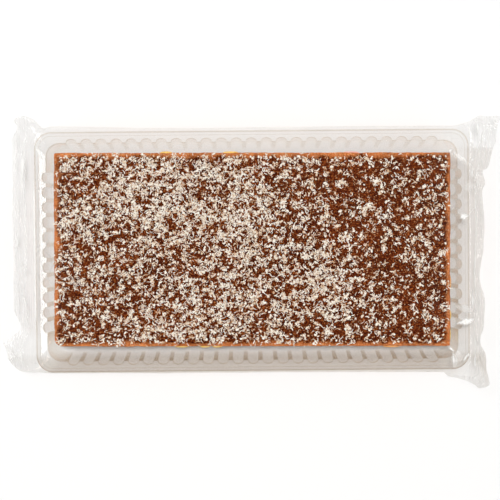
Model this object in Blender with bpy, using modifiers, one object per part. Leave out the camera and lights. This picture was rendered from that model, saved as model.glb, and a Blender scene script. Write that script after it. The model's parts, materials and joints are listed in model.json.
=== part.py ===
"""Lolly cake pack: a coconut-topped slab with lollies set in its cut sides, in a clear
fluted tray, sealed in a clear film wrap.

Metres, +Z up.  The origin is the middle of the tray's base, which is the face the pack
rests on.  X runs along the pack, towards the two crimped end seals of the wrap.
"""
import math

import bmesh
import bpy

# Tray: one thin formed sheet, measured over its rim.
TRAY_LENGTH = 0.2430
TRAY_WIDTH = 0.1347
TRAY_HEIGHT = 0.0240
TRAY_SHEET = 0.0006
RIM_RADIUS = 0.0095
FLANGE_WIDTH = 0.0023
LIP_DROP = 0.0014
WELL_INSET = 0.0062          # rim edge to the flat strips between the flutes
WELL_RADIUS = 0.0078
SHOULDER_DROP = 0.0024       # flange down to the top of the flat strips
WALL_DRAFT = 0.0024
FLUTE_PITCH = 0.00842
FLUTE_WIDTH = 0.0062
FLUTE_DEPTH = 0.0023
FLUTE_TAPER = 0.7            # depth of a flute at the floor against its depth at the top
FLUTES_LONG = 25
FLUTES_SHORT = 11
FLUTE_STEPS = 4
CORNER_STEPS = 6

# Cake slab, cut square, with one corner worn round.
CAKE_LENGTH = 0.2234
CAKE_WIDTH = 0.1092
CAKE_HEIGHT = 0.0180
CAKE_CENTRE = (0.0, 0.0006)
CAKE_TURN = math.radians(-0.4)  # it lies a little askew in the tray
CAKE_EDGE = 0.0007
CORNER_SHARP = 0.0012
CORNER_WORN = 0.0045

# Lollies in the cut sides: side, place along the side, height above the tray's floor,
# width and height of the cut face, and colour.
LOLLY_DEPTH = 0.0065
LOLLY_SIDES = 18
LOLLIES = (
    ("front", -0.0400, 0.0130, 0.0084, 0.0074, "yellow"),
    ("front", -0.0270, 0.0138, 0.0062, 0.0064, "yellow"),
    ("front", -0.0198, 0.0138, 0.0060, 0.0064, "yellow"),
    ("front", 0.0790, 0.0132, 0.0104, 0.0074, "orange"),
    ("back", -0.0486, 0.0135, 0.0072, 0.0068, "yellow"),
    ("back", -0.0122, 0.0130, 0.0092, 0.0080, "yellow"),
    ("back", 0.0560, 0.0090, 0.0098, 0.0080, "pink"),
    ("right", -0.0180, 0.0132, 0.0080, 0.0074, "orange"),
    ("right", -0.0365, 0.0137, 0.0056, 0.0062, "yellow"),
    ("right", -0.0475, 0.0112, 0.0092, 0.0088, "yellow"),
    ("left", -0.0300, 0.0098, 0.0100, 0.0084, "pink"),
    ("left", 0.0260, 0.0100, 0.0092, 0.0076, "pink"),
)

# Wrap: the sealed bag out to its outer form, open below where the tray rests.
WRAP_TOP = 0.0249
WRAP_FOOT = 0.0634           # half width where the wrap meets the surface
WRAP_SIDE = 0.0692           # half width at its fullest
WRAP_SHOULDER = 0.0679       # half width at the top
WRAP_STEPS = 8               # points across the top and across the underside
SEAL_HALF = 0.0004
SEAL_HEIGHT = 0.0118

# Gaps kept between pieces that touch.
GAP = 0.0003

COLOURS = {
    "cake": ((0.30, 0.13, 0.06), 0.8),
    "tray": ((0.90, 0.90, 0.88), 0.15),
    "film": ((0.92, 0.92, 0.90), 0.2),
    "yellow": ((0.95, 0.62, 0.10), 0.5),
    "orange": ((0.90, 0.35, 0.06), 0.5),
    "pink": ((0.88, 0.38, 0.38), 0.5),
}


def clear_scene():
    for old in list(bpy.data.objects):
        bpy.data.objects.remove(old, do_unlink=True)


def make_collection(name):
    group = bpy.data.collections.new(name)
    bpy.context.scene.collection.children.link(group)
    return group


def make_material(name):
    colour, roughness = COLOURS[name]
    material = bpy.data.materials.new(name)
    material.use_nodes = True
    shader = material.node_tree.nodes["Principled BSDF"]
    shader.inputs["Base Color"].default_value = (*colour, 1.0)
    shader.inputs["Roughness"].default_value = roughness
    shader.inputs["Metallic"].default_value = 0.0
    return material


def face_outwards(form):
    bmesh.ops.recalc_face_normals(form, faces=form.faces)
    if form.calc_volume(signed=True) < 0:
        bmesh.ops.reverse_faces(form, faces=form.faces)


def add_object(name, form, group, material=None):
    """Turns a bmesh into a named object and frees it."""
    mesh = bpy.data.meshes.new(name)
    form.to_mesh(mesh)
    form.free()
    thing = bpy.data.objects.new(name, mesh)
    group.objects.link(thing)
    if material:
        mesh.materials.append(material)
    return thing


def add_cutter(name, form, group):
    cutter = add_object(name, form, group)
    cutter.hide_render = True
    cutter.display_type = "WIRE"
    return cutter


def cut(thing, cutter):
    boolean = thing.modifiers.new(cutter.name, "BOOLEAN")
    boolean.operation = "DIFFERENCE"
    boolean.solver = "EXACT"
    boolean.object = cutter


def corner_arcs(half_x, half_y, radii, steps):
    """Four corners of a rounded rectangle, anticlockwise from the +X +Y one."""
    arcs = []
    for quarter, (sx, sy) in enumerate(((1, 1), (-1, 1), (-1, -1), (1, -1))):
        radius = radii[quarter]
        middle = (sx * (half_x - radius), sy * (half_y - radius))
        start = quarter * math.pi / 2
        angles = [start + math.pi / 2 * step / steps for step in range(steps + 1)]
        arcs.append([(middle[0] + radius * math.cos(a), middle[1] + radius * math.sin(a))
                     for a in angles])
    return arcs


def flute_row(count, depth):
    """Places along one side and how far each stands out, for a row of round flutes."""
    row = []
    for flute in range(count):
        centre = (flute - (count - 1) / 2) * FLUTE_PITCH
        for step in range(FLUTE_STEPS + 1):
            angle = math.pi * step / FLUTE_STEPS
            row.append((centre - FLUTE_WIDTH / 2 * math.cos(angle), depth * math.sin(angle)))
    return row


def well_ring(half_x, half_y, radius, depth):
    """Outline of the fluted well as (x, y, how far the point stands out)."""
    arcs = corner_arcs(half_x, half_y, (radius,) * 4, CORNER_STEPS)
    long_row = flute_row(FLUTES_LONG, depth)
    short_row = flute_row(FLUTES_SHORT, depth)
    ring = [(x, y, 0.0) for x, y in arcs[0]]
    ring += [(-along, half_y + out, out) for along, out in long_row]
    ring += [(x, y, 0.0) for x, y in arcs[1]]
    ring += [(-half_x - out, -along, out) for along, out in short_row]
    ring += [(x, y, 0.0) for x, y in arcs[2]]
    ring += [(along, -half_y - out, out) for along, out in long_row]
    ring += [(x, y, 0.0) for x, y in arcs[3]]
    ring += [(half_x + out, along, out) for along, out in short_row]
    return ring


def plain_ring(half_x, half_y, radius):
    """A rounded rectangle whose points pair with those of well_ring."""
    return [(x, y) for x, y, _ in well_ring(half_x, half_y, radius, 0.0)]


def loft(form, rings):
    """Joins closed rings of equal length with quads, and returns their vertices."""
    rows = [[form.verts.new(point) for point in ring] for ring in rings]
    count = len(rows[0])
    for low, high in zip(rows, rows[1:]):
        for i in range(count):
            j = (i + 1) % count
            form.faces.new((low[i], low[j], high[j], high[i]))
    return rows


def build_tray(group):
    """One open surface, the tray's upper side, thickened to the formed sheet."""
    half_x, half_y = TRAY_LENGTH / 2, TRAY_WIDTH / 2
    well_x, well_y = half_x - WELL_INSET, half_y - WELL_INSET
    strip_top = TRAY_HEIGHT - SHOULDER_DROP
    rise = SHOULDER_DROP / (WELL_INSET - FLANGE_WIDTH)
    floor_depth = FLUTE_DEPTH * FLUTE_TAPER

    floor = well_ring(well_x - WALL_DRAFT, well_y - WALL_DRAFT, WELL_RADIUS, floor_depth)
    brim = well_ring(well_x, well_y, WELL_RADIUS, FLUTE_DEPTH)
    inner = plain_ring(half_x - FLANGE_WIDTH, half_y - FLANGE_WIDTH, RIM_RADIUS - FLANGE_WIDTH)
    outer = plain_ring(half_x, half_y, RIM_RADIUS)

    form = bmesh.new()
    rings = [
        [(x, y, TRAY_SHEET) for x, y, _ in floor],
        [(x, y, strip_top + out * rise) for x, y, out in brim],
        [(x, y, TRAY_HEIGHT) for x, y in inner],
        [(x, y, TRAY_HEIGHT) for x, y in outer],
        [(x, y, TRAY_HEIGHT - LIP_DROP) for x, y in outer],
    ]
    rows = loft(form, rings)
    form.faces.new(rows[0])
    bmesh.ops.recalc_face_normals(form, faces=form.faces)
    floor_face = max(form.faces, key=lambda face: len(face.verts))
    if floor_face.normal.z < 0:
        bmesh.ops.reverse_faces(form, faces=form.faces)
    tray = add_object("clear_tray", form, group, make_material("tray"))

    flat = tray.modifiers.new("flat faces", "DECIMATE")
    flat.decimate_type = "DISSOLVE"
    flat.angle_limit = math.radians(0.3)
    sheet = tray.modifiers.new("sheet", "SOLIDIFY")
    sheet.thickness = TRAY_SHEET
    sheet.offset = -1.0
    sheet.use_even_offset = True
    return tray


def side_frame(side):
    """A side's outward direction, the direction along it, and its face's middle."""
    outward = {"front": (0, -1), "back": (0, 1), "right": (1, 0), "left": (-1, 0)}[side]
    along = (1, 0) if outward[0] == 0 else (0, 1)
    reach = CAKE_WIDTH / 2 if outward[0] == 0 else CAKE_LENGTH / 2
    face = (CAKE_CENTRE[0] * abs(outward[0]) + outward[0] * reach,
            CAKE_CENTRE[1] * abs(outward[1]) + outward[1] * reach)
    return outward, along, face


def turned(x, y):
    """A place on the cake as it lies, turned about its middle."""
    x, y = x - CAKE_CENTRE[0], y - CAKE_CENTRE[1]
    return (CAKE_CENTRE[0] + x * math.cos(CAKE_TURN) - y * math.sin(CAKE_TURN),
            CAKE_CENTRE[1] + x * math.sin(CAKE_TURN) + y * math.cos(CAKE_TURN))


def lolly_form(row, proud, grow):
    """A rounded peg: its cut face on the cake's side, or proud of it for a cutter."""
    side, place, height, width, tall, _ = row
    outward, along, face = side_frame(side)
    depth = LOLLY_DEPTH + grow + proud
    form = bmesh.new()
    bmesh.ops.create_cone(form, cap_ends=True, segments=LOLLY_SIDES,
                          radius1=0.5, radius2=0.5, depth=1.0)
    for vert in form.verts:
        across, up, inward = vert.co.x, vert.co.y, vert.co.z + 0.5
        blunt = 1.0 - 0.25 * inward
        across *= (width + 2 * grow) * blunt
        up *= (tall + 2 * grow) * blunt
        out = proud - depth * inward
        vert.co = (*turned(face[0] + along[0] * (place + across) + outward[0] * out,
                           face[1] + along[1] * (place + across) + outward[1] * out),
                   TRAY_SHEET + height + up)
    face_outwards(form)
    return form


def build_cake(group, cutters):
    """The slab: a rounded outline drawn up, its edges eased, with a seat for each lolly."""
    radii = (CORNER_SHARP, CORNER_SHARP, CORNER_WORN, CORNER_SHARP)
    arcs = corner_arcs(CAKE_LENGTH / 2, CAKE_WIDTH / 2, radii, CORNER_STEPS)
    base = TRAY_SHEET + GAP
    form = bmesh.new()
    rings = [[(*turned(x + CAKE_CENTRE[0], y + CAKE_CENTRE[1]), z) for arc in arcs for x, y in arc]
             for z in (base, base + CAKE_HEIGHT)]
    rows = loft(form, rings)
    form.faces.new(reversed(rows[0]))
    form.faces.new(rows[1])
    face_outwards(form)
    cake = add_object("lolly_cake", form, group, make_material("cake"))

    ease = cake.modifiers.new("eased edges", "BEVEL")
    ease.width = CAKE_EDGE
    ease.segments = 2
    ease.limit_method = "ANGLE"
    ease.angle_limit = math.radians(60)
    counts = {}
    for row in LOLLIES:
        side, colour = row[0], row[5]
        counts[side] = counts.get(side, 0) + 1
        name = "lolly_%s_%d" % (side, counts[side])
        cut(cake, add_cutter("seat_" + name, lolly_form(row, 0.001, GAP), cutters))
        material = bpy.data.materials.get(colour) or make_material(colour)
        add_object(name, lolly_form(row, 0.0, 0.0), group, material)
    return cake


def wrap_section(x, foot, side, shoulder, low, high, skew=0.0, shift=0.0):
    """One closed section of the wrap; skew turns it in plan and shift moves it along Y."""
    tall = high - low
    right = [(side, low + 0.30 * tall), (side, low + 0.75 * tall)]
    top = [(shoulder * (1 - 2 * i / (WRAP_STEPS - 1)), high) for i in range(WRAP_STEPS)]
    left = [(-y, z) for y, z in reversed(right)]
    under = [(foot * (2 * i / (WRAP_STEPS - 1) - 1), low) for i in range(WRAP_STEPS)]
    return [(x + skew * (y / side) ** 3, y + shift, z) for y, z in right + top + left + under]


def build_wrap(group, cutters):
    """The sealed bag: a loft from one end seal to the other, hollowed for the tray."""
    seal_low, seal_high = SEAL_HEIGHT - SEAL_HALF, SEAL_HEIGHT + SEAL_HALF
    full = (WRAP_FOOT, WRAP_SIDE, WRAP_SHOULDER, 0.0, WRAP_TOP)
    form = bmesh.new()
    rings = [
        wrap_section(-0.1360, 0.0692, 0.0696, 0.0692, seal_low - 0.002, seal_high - 0.002,
                     0.0040, 0.001),
        wrap_section(-0.1290, 0.0708, 0.0712, 0.0708, seal_low, seal_high, 0.0012, 0.002),
        wrap_section(-0.1262, 0.0700, 0.0722, 0.0706, 0.0074, 0.0178, 0.0, 0.002),
        wrap_section(-0.1228, 0.0672, 0.0702, 0.0690, 0.0022, WRAP_TOP, 0.0, 0.001),
        wrap_section(-0.1180, *full),
        wrap_section(-0.0600, *full),
        wrap_section(0.0, *full),
        wrap_section(0.0600, *full),
        wrap_section(0.1180, *full),
        wrap_section(0.1228, 0.0676, 0.0706, 0.0694, 0.0022, WRAP_TOP),
        wrap_section(0.1262, 0.0712, 0.0736, 0.0716, 0.0074, 0.0178, 0.0008),
        wrap_section(0.1284, 0.0738, 0.0742, 0.0738, seal_low, seal_high, 0.0018),
        wrap_section(0.1342, 0.0748, 0.0752, 0.0748, seal_low - 0.001, seal_high - 0.001, 0.0026),
    ]
    rows = loft(form, rings)
    form.faces.new(rows[0])
    form.faces.new(rows[-1])
    face_outwards(form)
    wrap = add_object("film_wrap", form, group, make_material("film"))

    hollow = bmesh.new()
    lip = TRAY_HEIGHT - LIP_DROP
    foot_x = TRAY_LENGTH / 2 - WELL_INSET - WALL_DRAFT + FLUTE_DEPTH + TRAY_SHEET + GAP
    foot_y = foot_x - (TRAY_LENGTH - TRAY_WIDTH) / 2
    brim_x, brim_y = TRAY_LENGTH / 2 + GAP, TRAY_WIDTH / 2 + GAP
    levels = ((foot_x, foot_y, -0.001), (foot_x, foot_y, 0.002),
              (brim_x, brim_y, lip - 0.002), (brim_x, brim_y, TRAY_HEIGHT + GAP))
    rings = []
    for half_x, half_y, z in levels:
        arcs = corner_arcs(half_x, half_y, (RIM_RADIUS,) * 4, CORNER_STEPS)
        rings.append([(x, y, z) for arc in arcs for x, y in arc])
    rows = loft(hollow, rings)
    hollow.faces.new(reversed(rows[0]))
    hollow.faces.new(rows[-1])
    face_outwards(hollow)
    cut(wrap, add_cutter("tray_space", hollow, cutters))
    return wrap


clear_scene()
PARTS = make_collection("lolly cake pack")
CUTTERS = make_collection("cutters")
build_tray(PARTS)
build_cake(PARTS, CUTTERS)
build_wrap(PARTS, CUTTERS)
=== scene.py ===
import json
import math

import bmesh
import bpy
import numpy as np
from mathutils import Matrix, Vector, noise

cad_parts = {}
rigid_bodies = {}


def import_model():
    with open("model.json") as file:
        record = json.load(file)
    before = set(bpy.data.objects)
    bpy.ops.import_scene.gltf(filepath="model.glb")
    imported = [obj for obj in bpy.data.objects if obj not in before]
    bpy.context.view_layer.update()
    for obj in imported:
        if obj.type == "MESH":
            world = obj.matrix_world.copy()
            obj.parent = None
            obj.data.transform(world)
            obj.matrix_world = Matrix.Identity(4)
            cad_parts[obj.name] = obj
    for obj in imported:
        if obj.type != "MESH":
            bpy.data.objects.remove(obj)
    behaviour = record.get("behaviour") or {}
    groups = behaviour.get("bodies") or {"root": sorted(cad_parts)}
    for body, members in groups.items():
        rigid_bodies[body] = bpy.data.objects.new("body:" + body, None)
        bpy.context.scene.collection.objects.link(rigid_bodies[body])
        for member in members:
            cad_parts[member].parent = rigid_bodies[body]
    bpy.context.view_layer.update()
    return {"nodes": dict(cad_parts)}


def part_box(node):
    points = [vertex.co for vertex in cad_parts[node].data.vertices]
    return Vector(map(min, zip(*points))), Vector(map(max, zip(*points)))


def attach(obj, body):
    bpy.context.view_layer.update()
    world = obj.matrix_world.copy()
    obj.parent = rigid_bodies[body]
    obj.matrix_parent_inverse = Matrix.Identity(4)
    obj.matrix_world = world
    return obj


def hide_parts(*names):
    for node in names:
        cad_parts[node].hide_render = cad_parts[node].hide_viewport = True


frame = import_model()


# ---- the slab ------------------------------------------------------------------------------
# A pressed slab of crushed malt biscuit, butter and condensed milk, cut square with a knife.
# It is dark where the top was rolled in coconut and lighter and more orange along the cuts.
slab_low, slab_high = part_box("lolly_cake")
slab_middle = (slab_low + slab_high) / 2
SLAB_TURN = math.radians(-0.4)   # it lies a little askew in the tray
slab_cos, slab_sin = math.cos(SLAB_TURN), abs(math.sin(SLAB_TURN))
slab_span = (slab_high - slab_low) / 2      # of the box round the turned slab
slab_half = Vector(((slab_span.x * slab_cos - slab_span.y * slab_sin) / math.cos(2 * SLAB_TURN),
                    (slab_span.y * slab_cos - slab_span.x * slab_sin) / math.cos(2 * SLAB_TURN),
                    slab_span.z))
SLAB_EASE = 0.0009               # radius of its cut edges
SLAB_CELL = 0.00068              # side of one cell of its mesh
SLAB_WORN = 0.0045               # radius of the knocked corner
SLAB_BARE = 0.0031               # width of the orange rim round the top
SLAB_FOOT = 0.0005               # the lowest part, which the tray keeps flat
SEAT_DEPTH = 0.0004              # how far the cake shrinks back from a lolly
SEAT_BLEND = 0.30                # how far past a lolly's rim it does so, as a share of its radius
WANDER, COARSE, FINE = 0.00022, 0.00026, 0.00016    # heights of its lumps


def link(thing):
    bpy.context.scene.collection.objects.link(thing)
    return thing


def mesh_object(name, points, faces, smooth=True):
    """A mesh object from an array of points and rows of point numbers."""
    mesh = bpy.data.meshes.new(name)
    mesh.from_pydata([tuple(point) for point in points], [], [tuple(face) for face in faces])
    mesh.update()
    if smooth:
        mesh.shade_smooth()
    return link(bpy.data.objects.new(name, mesh))


def ring_quads(rings, around):
    """Quads between closed rings, each of the same number of points."""
    start, place = np.meshgrid(np.arange(rings - 1) * around, np.arange(around), indexing="ij")
    after = (place + 1) % around
    quads = np.stack([start + place, start + after, start + around + after, start + around + place],
                     axis=-1)
    return [tuple(quad) for quad in quads.reshape(-1, 4)]


def float_attribute(mesh, name, values):
    layer = mesh.attributes.new(name, "FLOAT", "POINT")
    layer.data.foreach_set("value", np.asarray(values, np.float32))


def lumps(point, size, depth):
    """Fractal bumps of a given size, from -1 to 1 or so."""
    return noise.fractal(Vector(point) / size, 1.0, 2.1, depth, noise_basis="PERLIN_ORIGINAL")


def clamp(value, low=0.0, high=1.0):
    return min(max(value, low), high)


def net_box(across, along, down):
    """A box's top and sides as one net, with a plain face below: unit points and faces."""
    xs, ys = np.linspace(-1, 1, across + 1), np.linspace(-1, 1, along + 1)
    grid_x, grid_y = np.meshgrid(xs, ys, indexing="ij")
    top = np.stack([grid_x.ravel(), grid_y.ravel(), np.ones(grid_x.size)], axis=1)
    number = np.arange(grid_x.size).reshape(grid_x.shape)
    faces = [(number[i, j], number[i + 1, j], number[i + 1, j + 1], number[i, j + 1])
             for i in range(across) for j in range(along)]
    loop = np.concatenate([number[:-1, 0], number[-1, :-1], number[:0:-1, -1], number[0, :0:-1]])
    points = [top]
    above = loop
    for step in range(1, down + 1):
        ring = top[loop].copy()
        ring[:, 2] = 1 - 2 * step / down
        points.append(ring)
        below = grid_x.size + (step - 1) * len(loop) + np.arange(len(loop))
        faces += zip(below, np.roll(below, -1), np.roll(above, -1), above)
        above = below
    faces.append(tuple(above[::-1]))
    return np.concatenate(points), faces


def round_off(points, half, ease):
    """Draws the points of a unit box onto a box of the given half sizes with eased edges."""
    half = np.array(half)
    placed = points * half
    core = np.clip(placed, -half + ease, half - ease)
    out = placed - core
    reach = np.linalg.norm(out, axis=1, keepdims=True)
    push = np.where(reach > 1e-9, out / np.maximum(reach, 1e-9) * ease, 0.0)
    return core + push


def wear_corner(points, half, radius):
    """Rounds the slab's front left corner in plan, where it has been knocked."""
    out = np.maximum(-points[:, :2] - np.array(half[:2]) + radius, 0.0)
    reach = np.linalg.norm(out, axis=1)
    kept = np.where(out.min(axis=1) > 0, out.max(axis=1) / np.maximum(reach, 1e-9), 1.0)
    worn = points.copy()
    worn[:, :2] += out * (1 - kept)[:, None]
    return worn


seat_boxes = {node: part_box(node) for node in sorted(frame["nodes"])
              if node.startswith("lolly_") and node != "lolly_cake"}


def in_seat(point):
    """1 where a lolly meets the slab's side, falling to 0 just past its rim."""
    nearest = math.inf
    for node, (low, high) in seat_boxes.items():
        along = 0 if node.split("_")[1] in ("front", "back") else 1
        middle, half = (low + high) / 2, (high - low) / 2
        if abs(point[1 - along] - middle[1 - along]) < half[1 - along] + 0.002:
            nearest = min(nearest, math.hypot((point[along] - middle[along]) / half[along],
                                              (point[2] - middle.z) / half.z))
    return clamp((1 + SEAT_BLEND - nearest) / SEAT_BLEND)


unit_points, slab_faces = net_box(*(round(2 * half / SLAB_CELL) for half in slab_half))
slab_skin = wear_corner(round_off(unit_points, slab_half, SLAB_EASE), slab_half, SLAB_WORN)
slab_face_up = np.where(np.abs(unit_points[:, 2] - 1) < 1e-6, 1.0, 0.0)
edge_gap = np.minimum(slab_half.x - np.abs(slab_skin[:, 0]), slab_half.y - np.abs(slab_skin[:, 1]))
slab_bare = np.zeros(len(slab_skin))
for number, point in enumerate(slab_skin):
    wander, coarse, fine = lumps(point, 0.011, 2), lumps(point, 0.0042, 3), lumps(point, 0.0016, 2)
    lift = 0.0
    if point[2] >= -slab_half.z + SLAB_FOOT:
        lift = WANDER * wander + COARSE * coarse + FINE * fine
    if slab_face_up[number]:
        facing = np.array((0, 0, 1))
        width = SLAB_BARE * (1 + 0.9 * wander + 0.5 * coarse)
        slab_bare[number] = 1.0 - clamp((edge_gap[number] - 0.35 * width) / (0.65 * width))
    else:
        facing = np.trunc(unit_points[number]) * (1, 1, 0)
        seat = in_seat(point + np.array(slab_middle))
        lift = lift * (1 - seat) - SEAT_DEPTH * seat
        slab_bare[number] = 1.0
    slab_skin[number] = point + facing * lift
slab_askew = np.array(((math.cos(SLAB_TURN), math.sin(SLAB_TURN), 0),
                       (-math.sin(SLAB_TURN), math.cos(SLAB_TURN), 0), (0, 0, 1)))
slab_skin = slab_skin @ slab_askew + np.array(slab_middle)

slab = mesh_object("cake_slab", slab_skin, slab_faces)
float_attribute(slab.data, "bare", slab_bare)
float_attribute(slab.data, "top", slab_face_up)


def feed(tree, node, inputs):
    """Gives each of a node's inputs a plain value, or joins it to the socket given for it."""
    for name, value in inputs.items():
        if isinstance(value, bpy.types.NodeSocket):
            tree.links.new(value, node.inputs[name])
        else:
            node.inputs[name].default_value = value


def new_material(name, **finish):
    """A material, its node tree and its Principled shader. The finish names the shader's
    sockets, with _ for a space, and gives their plain values."""
    material = bpy.data.materials.new(name)
    material.use_nodes = True
    shader = material.node_tree.nodes["Principled BSDF"]
    feed(material.node_tree, shader,
         {socket.replace("_", " "): value for socket, value in finish.items()})
    return material, material.node_tree, shader


def add_node(tree, kind, inputs=None, **settings):
    """A node with its own settings, and values or sockets for its inputs."""
    made = tree.nodes.new(kind)
    for name, value in settings.items():
        setattr(made, name, value)
    feed(tree, made, inputs or {})
    return made


def attribute_node(tree, name):
    return add_node(tree, "ShaderNodeAttribute", attribute_name=name).outputs["Fac"]


def math_node(tree, operation, *values):
    return add_node(tree, "ShaderNodeMath", dict(enumerate(values)), operation=operation).outputs[0]


def split_node(tree, vector):
    return add_node(tree, "ShaderNodeSeparateXYZ", {0: vector}).outputs


def ramp_node(tree, source, stops):
    """A colour ramp on a value, from stops of a place and a colour or a level of grey."""
    ramp = add_node(tree, "ShaderNodeValToRGB", {"Fac": source})
    elements = ramp.color_ramp.elements
    while len(elements) < len(stops):
        elements.new(0.5)
    for element, (place, colour) in zip(elements, stops):
        element.position = place
        element.color = (*(colour if isinstance(colour, tuple) else (colour,) * 3), 1.0)
    return ramp.outputs["Color"]


def mix_colour(tree, factor, first, second, blend="MIX"):
    """Mixes two colours by a socket or a number; each colour is a socket or three numbers."""
    first, second = ((*value, 1.0) if isinstance(value, tuple) else value for value in (first, second))
    return add_node(tree, "ShaderNodeMix", {0: factor, 6: first, 7: second}, data_type="RGBA",
                    blend_type=blend).outputs[2]


def place_node(tree):
    return tree.nodes.new("ShaderNodeTexCoord").outputs["Object"]


def noise_node(tree, place, scale, detail=3.0, roughness=0.55):
    return add_node(tree, "ShaderNodeTexNoise", {"Vector": place, "Scale": scale, "Detail": detail,
                                                 "Roughness": roughness}).outputs["Fac"]


def cells_node(tree, place, scale, result, feature="F1"):
    return add_node(tree, "ShaderNodeTexVoronoi", {"Vector": place, "Scale": scale},
                    feature=feature).outputs[result]


def bump_node(tree, height, strength, distance):
    return add_node(tree, "ShaderNodeBump", {"Height": height, "Strength": strength,
                                             "Distance": distance}).outputs["Normal"]


def cake_material():
    """Dark, fine and crumbly on top, with coconut dust pressed in; orange where it was cut."""
    material, tree, shader = new_material("biscuit_cake", Roughness=0.8, Specular_IOR_Level=0.04)
    place = place_node(tree)
    crumb = noise_node(tree, place, 1050.0, 4.0, 0.68)
    patch = noise_node(tree, place, 75.0, 3.0, 0.6)
    dark = ramp_node(tree, crumb, ((0.37, (0.026, 0.0028, 0.0005)), (0.48, (0.076, 0.0105, 0.0015)),
                                   (0.57, (0.190, 0.040, 0.007)), (0.70, (0.53, 0.165, 0.042))))
    orange = ramp_node(tree, crumb, ((0.30, (0.26, 0.060, 0.015)), (0.46, (0.50, 0.145, 0.042)),
                                     (0.60, (0.70, 0.275, 0.098)), (0.76, (0.87, 0.49, 0.24))))
    tan = ramp_node(tree, crumb, ((0.30, (0.30, 0.095, 0.028)), (0.46, (0.54, 0.215, 0.075)),
                                  (0.60, (0.74, 0.40, 0.18)), (0.76, (0.90, 0.66, 0.42))))
    cut = mix_colour(tree, attribute_node(tree, "top"), tan, orange)
    colour = mix_colour(tree, attribute_node(tree, "bare"), dark, cut)
    shade = ramp_node(tree, patch, ((0.32, (0.72, 0.68, 0.66)), (0.68, (1.25, 1.22, 1.18))))
    colour = mix_colour(tree, 1.0, colour, shade, "MULTIPLY")

    grain = split_node(tree, cells_node(tree, place, 1900.0, "Color"))
    limit = math_node(tree, "MULTIPLY_ADD", attribute_node(tree, "cover"), 0.07, 0.05)
    pale = ramp_node(tree, grain["Y"], ((0.0, (0.30, 0.12, 0.045)), (1.0, (0.62, 0.42, 0.26))))
    colour = mix_colour(tree, math_node(tree, "LESS_THAN", grain["X"], limit), colour, pale)
    feed(tree, shader, {"Base Color": colour, "Normal": bump_node(tree, crumb, 1.0, 0.0007)})
    return material


slab.data.materials.append(cake_material())
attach(slab, "root")
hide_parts("lolly_cake")


# ---- the coconut ---------------------------------------------------------------------------
# Dry desiccated coconut, scattered by hand over the top and pressed in: straight shreds,
# short bits, flat flakes and dust. It lies thick to the left and thins out to the right.
SHRED = (0.00235, 0.00058)       # length and width of a middling one
BIT = (0.00110, 0.00052)
FLAKE = (0.00130, 0.00028)       # breadth and thickness
DUST = 0.00042
SHREDS_PER_M2 = 720000.0
BITS_PER_M2 = 900000.0
FLAKES_PER_M2 = 380000.0
DUST_PER_M2 = 480000.0
SHAPES_OF_EACH = 7
CLUMP_SPREAD = 0.42              # how much the clumping varies from place to place
CLUMP_SOFTNESS = 0.31            # how gently a clump ends, from 0 to 1
LOOSE_SHARE = 0.23               # the share that lies loose between the clumps
RIM_BARE = 0.0042                # how far in from the slab's edge the coconut thins out
# Drifts and bare patches: place along and across as a share of the half sizes, radius as a
# share of the half length, and how much cover each adds.
DRIFTS = ((-0.50, 0.55, 0.24, 0.31), (-0.08, 0.42, 0.17, 0.32), (-0.90, 0.32, 0.12, 0.18),
          (-0.62, -0.06, 0.22, -0.14), (0.32, -0.22, 0.11, 0.27), (-0.10, -0.50, 0.24, 0.12),
          (0.42, -0.62, 0.11, 0.24), (-0.90, -0.95, 0.20, -0.10), (0.10, -0.90, 0.20, -0.02),
          (0.10, 0.95, 0.22, -0.06), (0.80, 0.40, 0.15, -0.03), (0.80, -0.55, 0.15, -0.03))


def coconut_cover(x, y):
    """How thick the coconut lies at a point of the top, 0 to about 1."""
    cover = 0.335 - 0.18 / (1 + math.exp(-(x - 0.26) / 0.18))
    for middle_x, middle_y, radius, amount in DRIFTS:
        away = (x - middle_x) ** 2 + ((y - middle_y) * slab_half.y / slab_half.x) ** 2
        cover += amount * math.exp(-away / radius ** 2)
    return max(cover, 0.03)


def clumped(point, thick):
    """Coconut clings to coconut: the same cover gathered into clumps with bare gaps between."""
    grain = 0.55 * lumps(point + (0, 0, 0.05), 0.0040, 2) + 0.80 * lumps(point, 0.0020, 2)
    rank = 0.5 * (1 + math.erf(grain / CLUMP_SPREAD))
    share = clamp((rank - (1 - thick)) / CLUMP_SOFTNESS + 0.5)
    return LOOSE_SHARE * thick + (1 - LOOSE_SHARE * thick) * share ** 2 * (3 - 2 * share)


cover = np.zeros(len(slab_skin))
for number in np.nonzero(slab_face_up)[0]:
    local = slab_askew @ (slab_skin[number] - np.array(slab_middle))
    thick = coconut_cover(local[0] / slab_half.x, local[1] / slab_half.y)
    at_front = slab_half.y + local[1] < 0.01
    rim = clamp((edge_gap[number] + 0.0002) / (RIM_BARE * (1.05 if at_front else 1.0)), 0.12)
    cover[number] = clumped(slab_skin[number], thick) * rim
float_attribute(slab.data, "cover", cover)


def closed_solid(name, points, faces, smooth=True):
    """A closed mesh with its faces turned outwards."""
    made = mesh_object(name, points, faces, smooth)
    form = bmesh.new()
    form.from_mesh(made.data)
    bmesh.ops.recalc_face_normals(form, faces=form.faces)
    if form.calc_volume(signed=True) < 0:
        bmesh.ops.reverse_faces(form, faces=form.faces)
    form.to_mesh(made.data)
    form.free()
    return made


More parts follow.
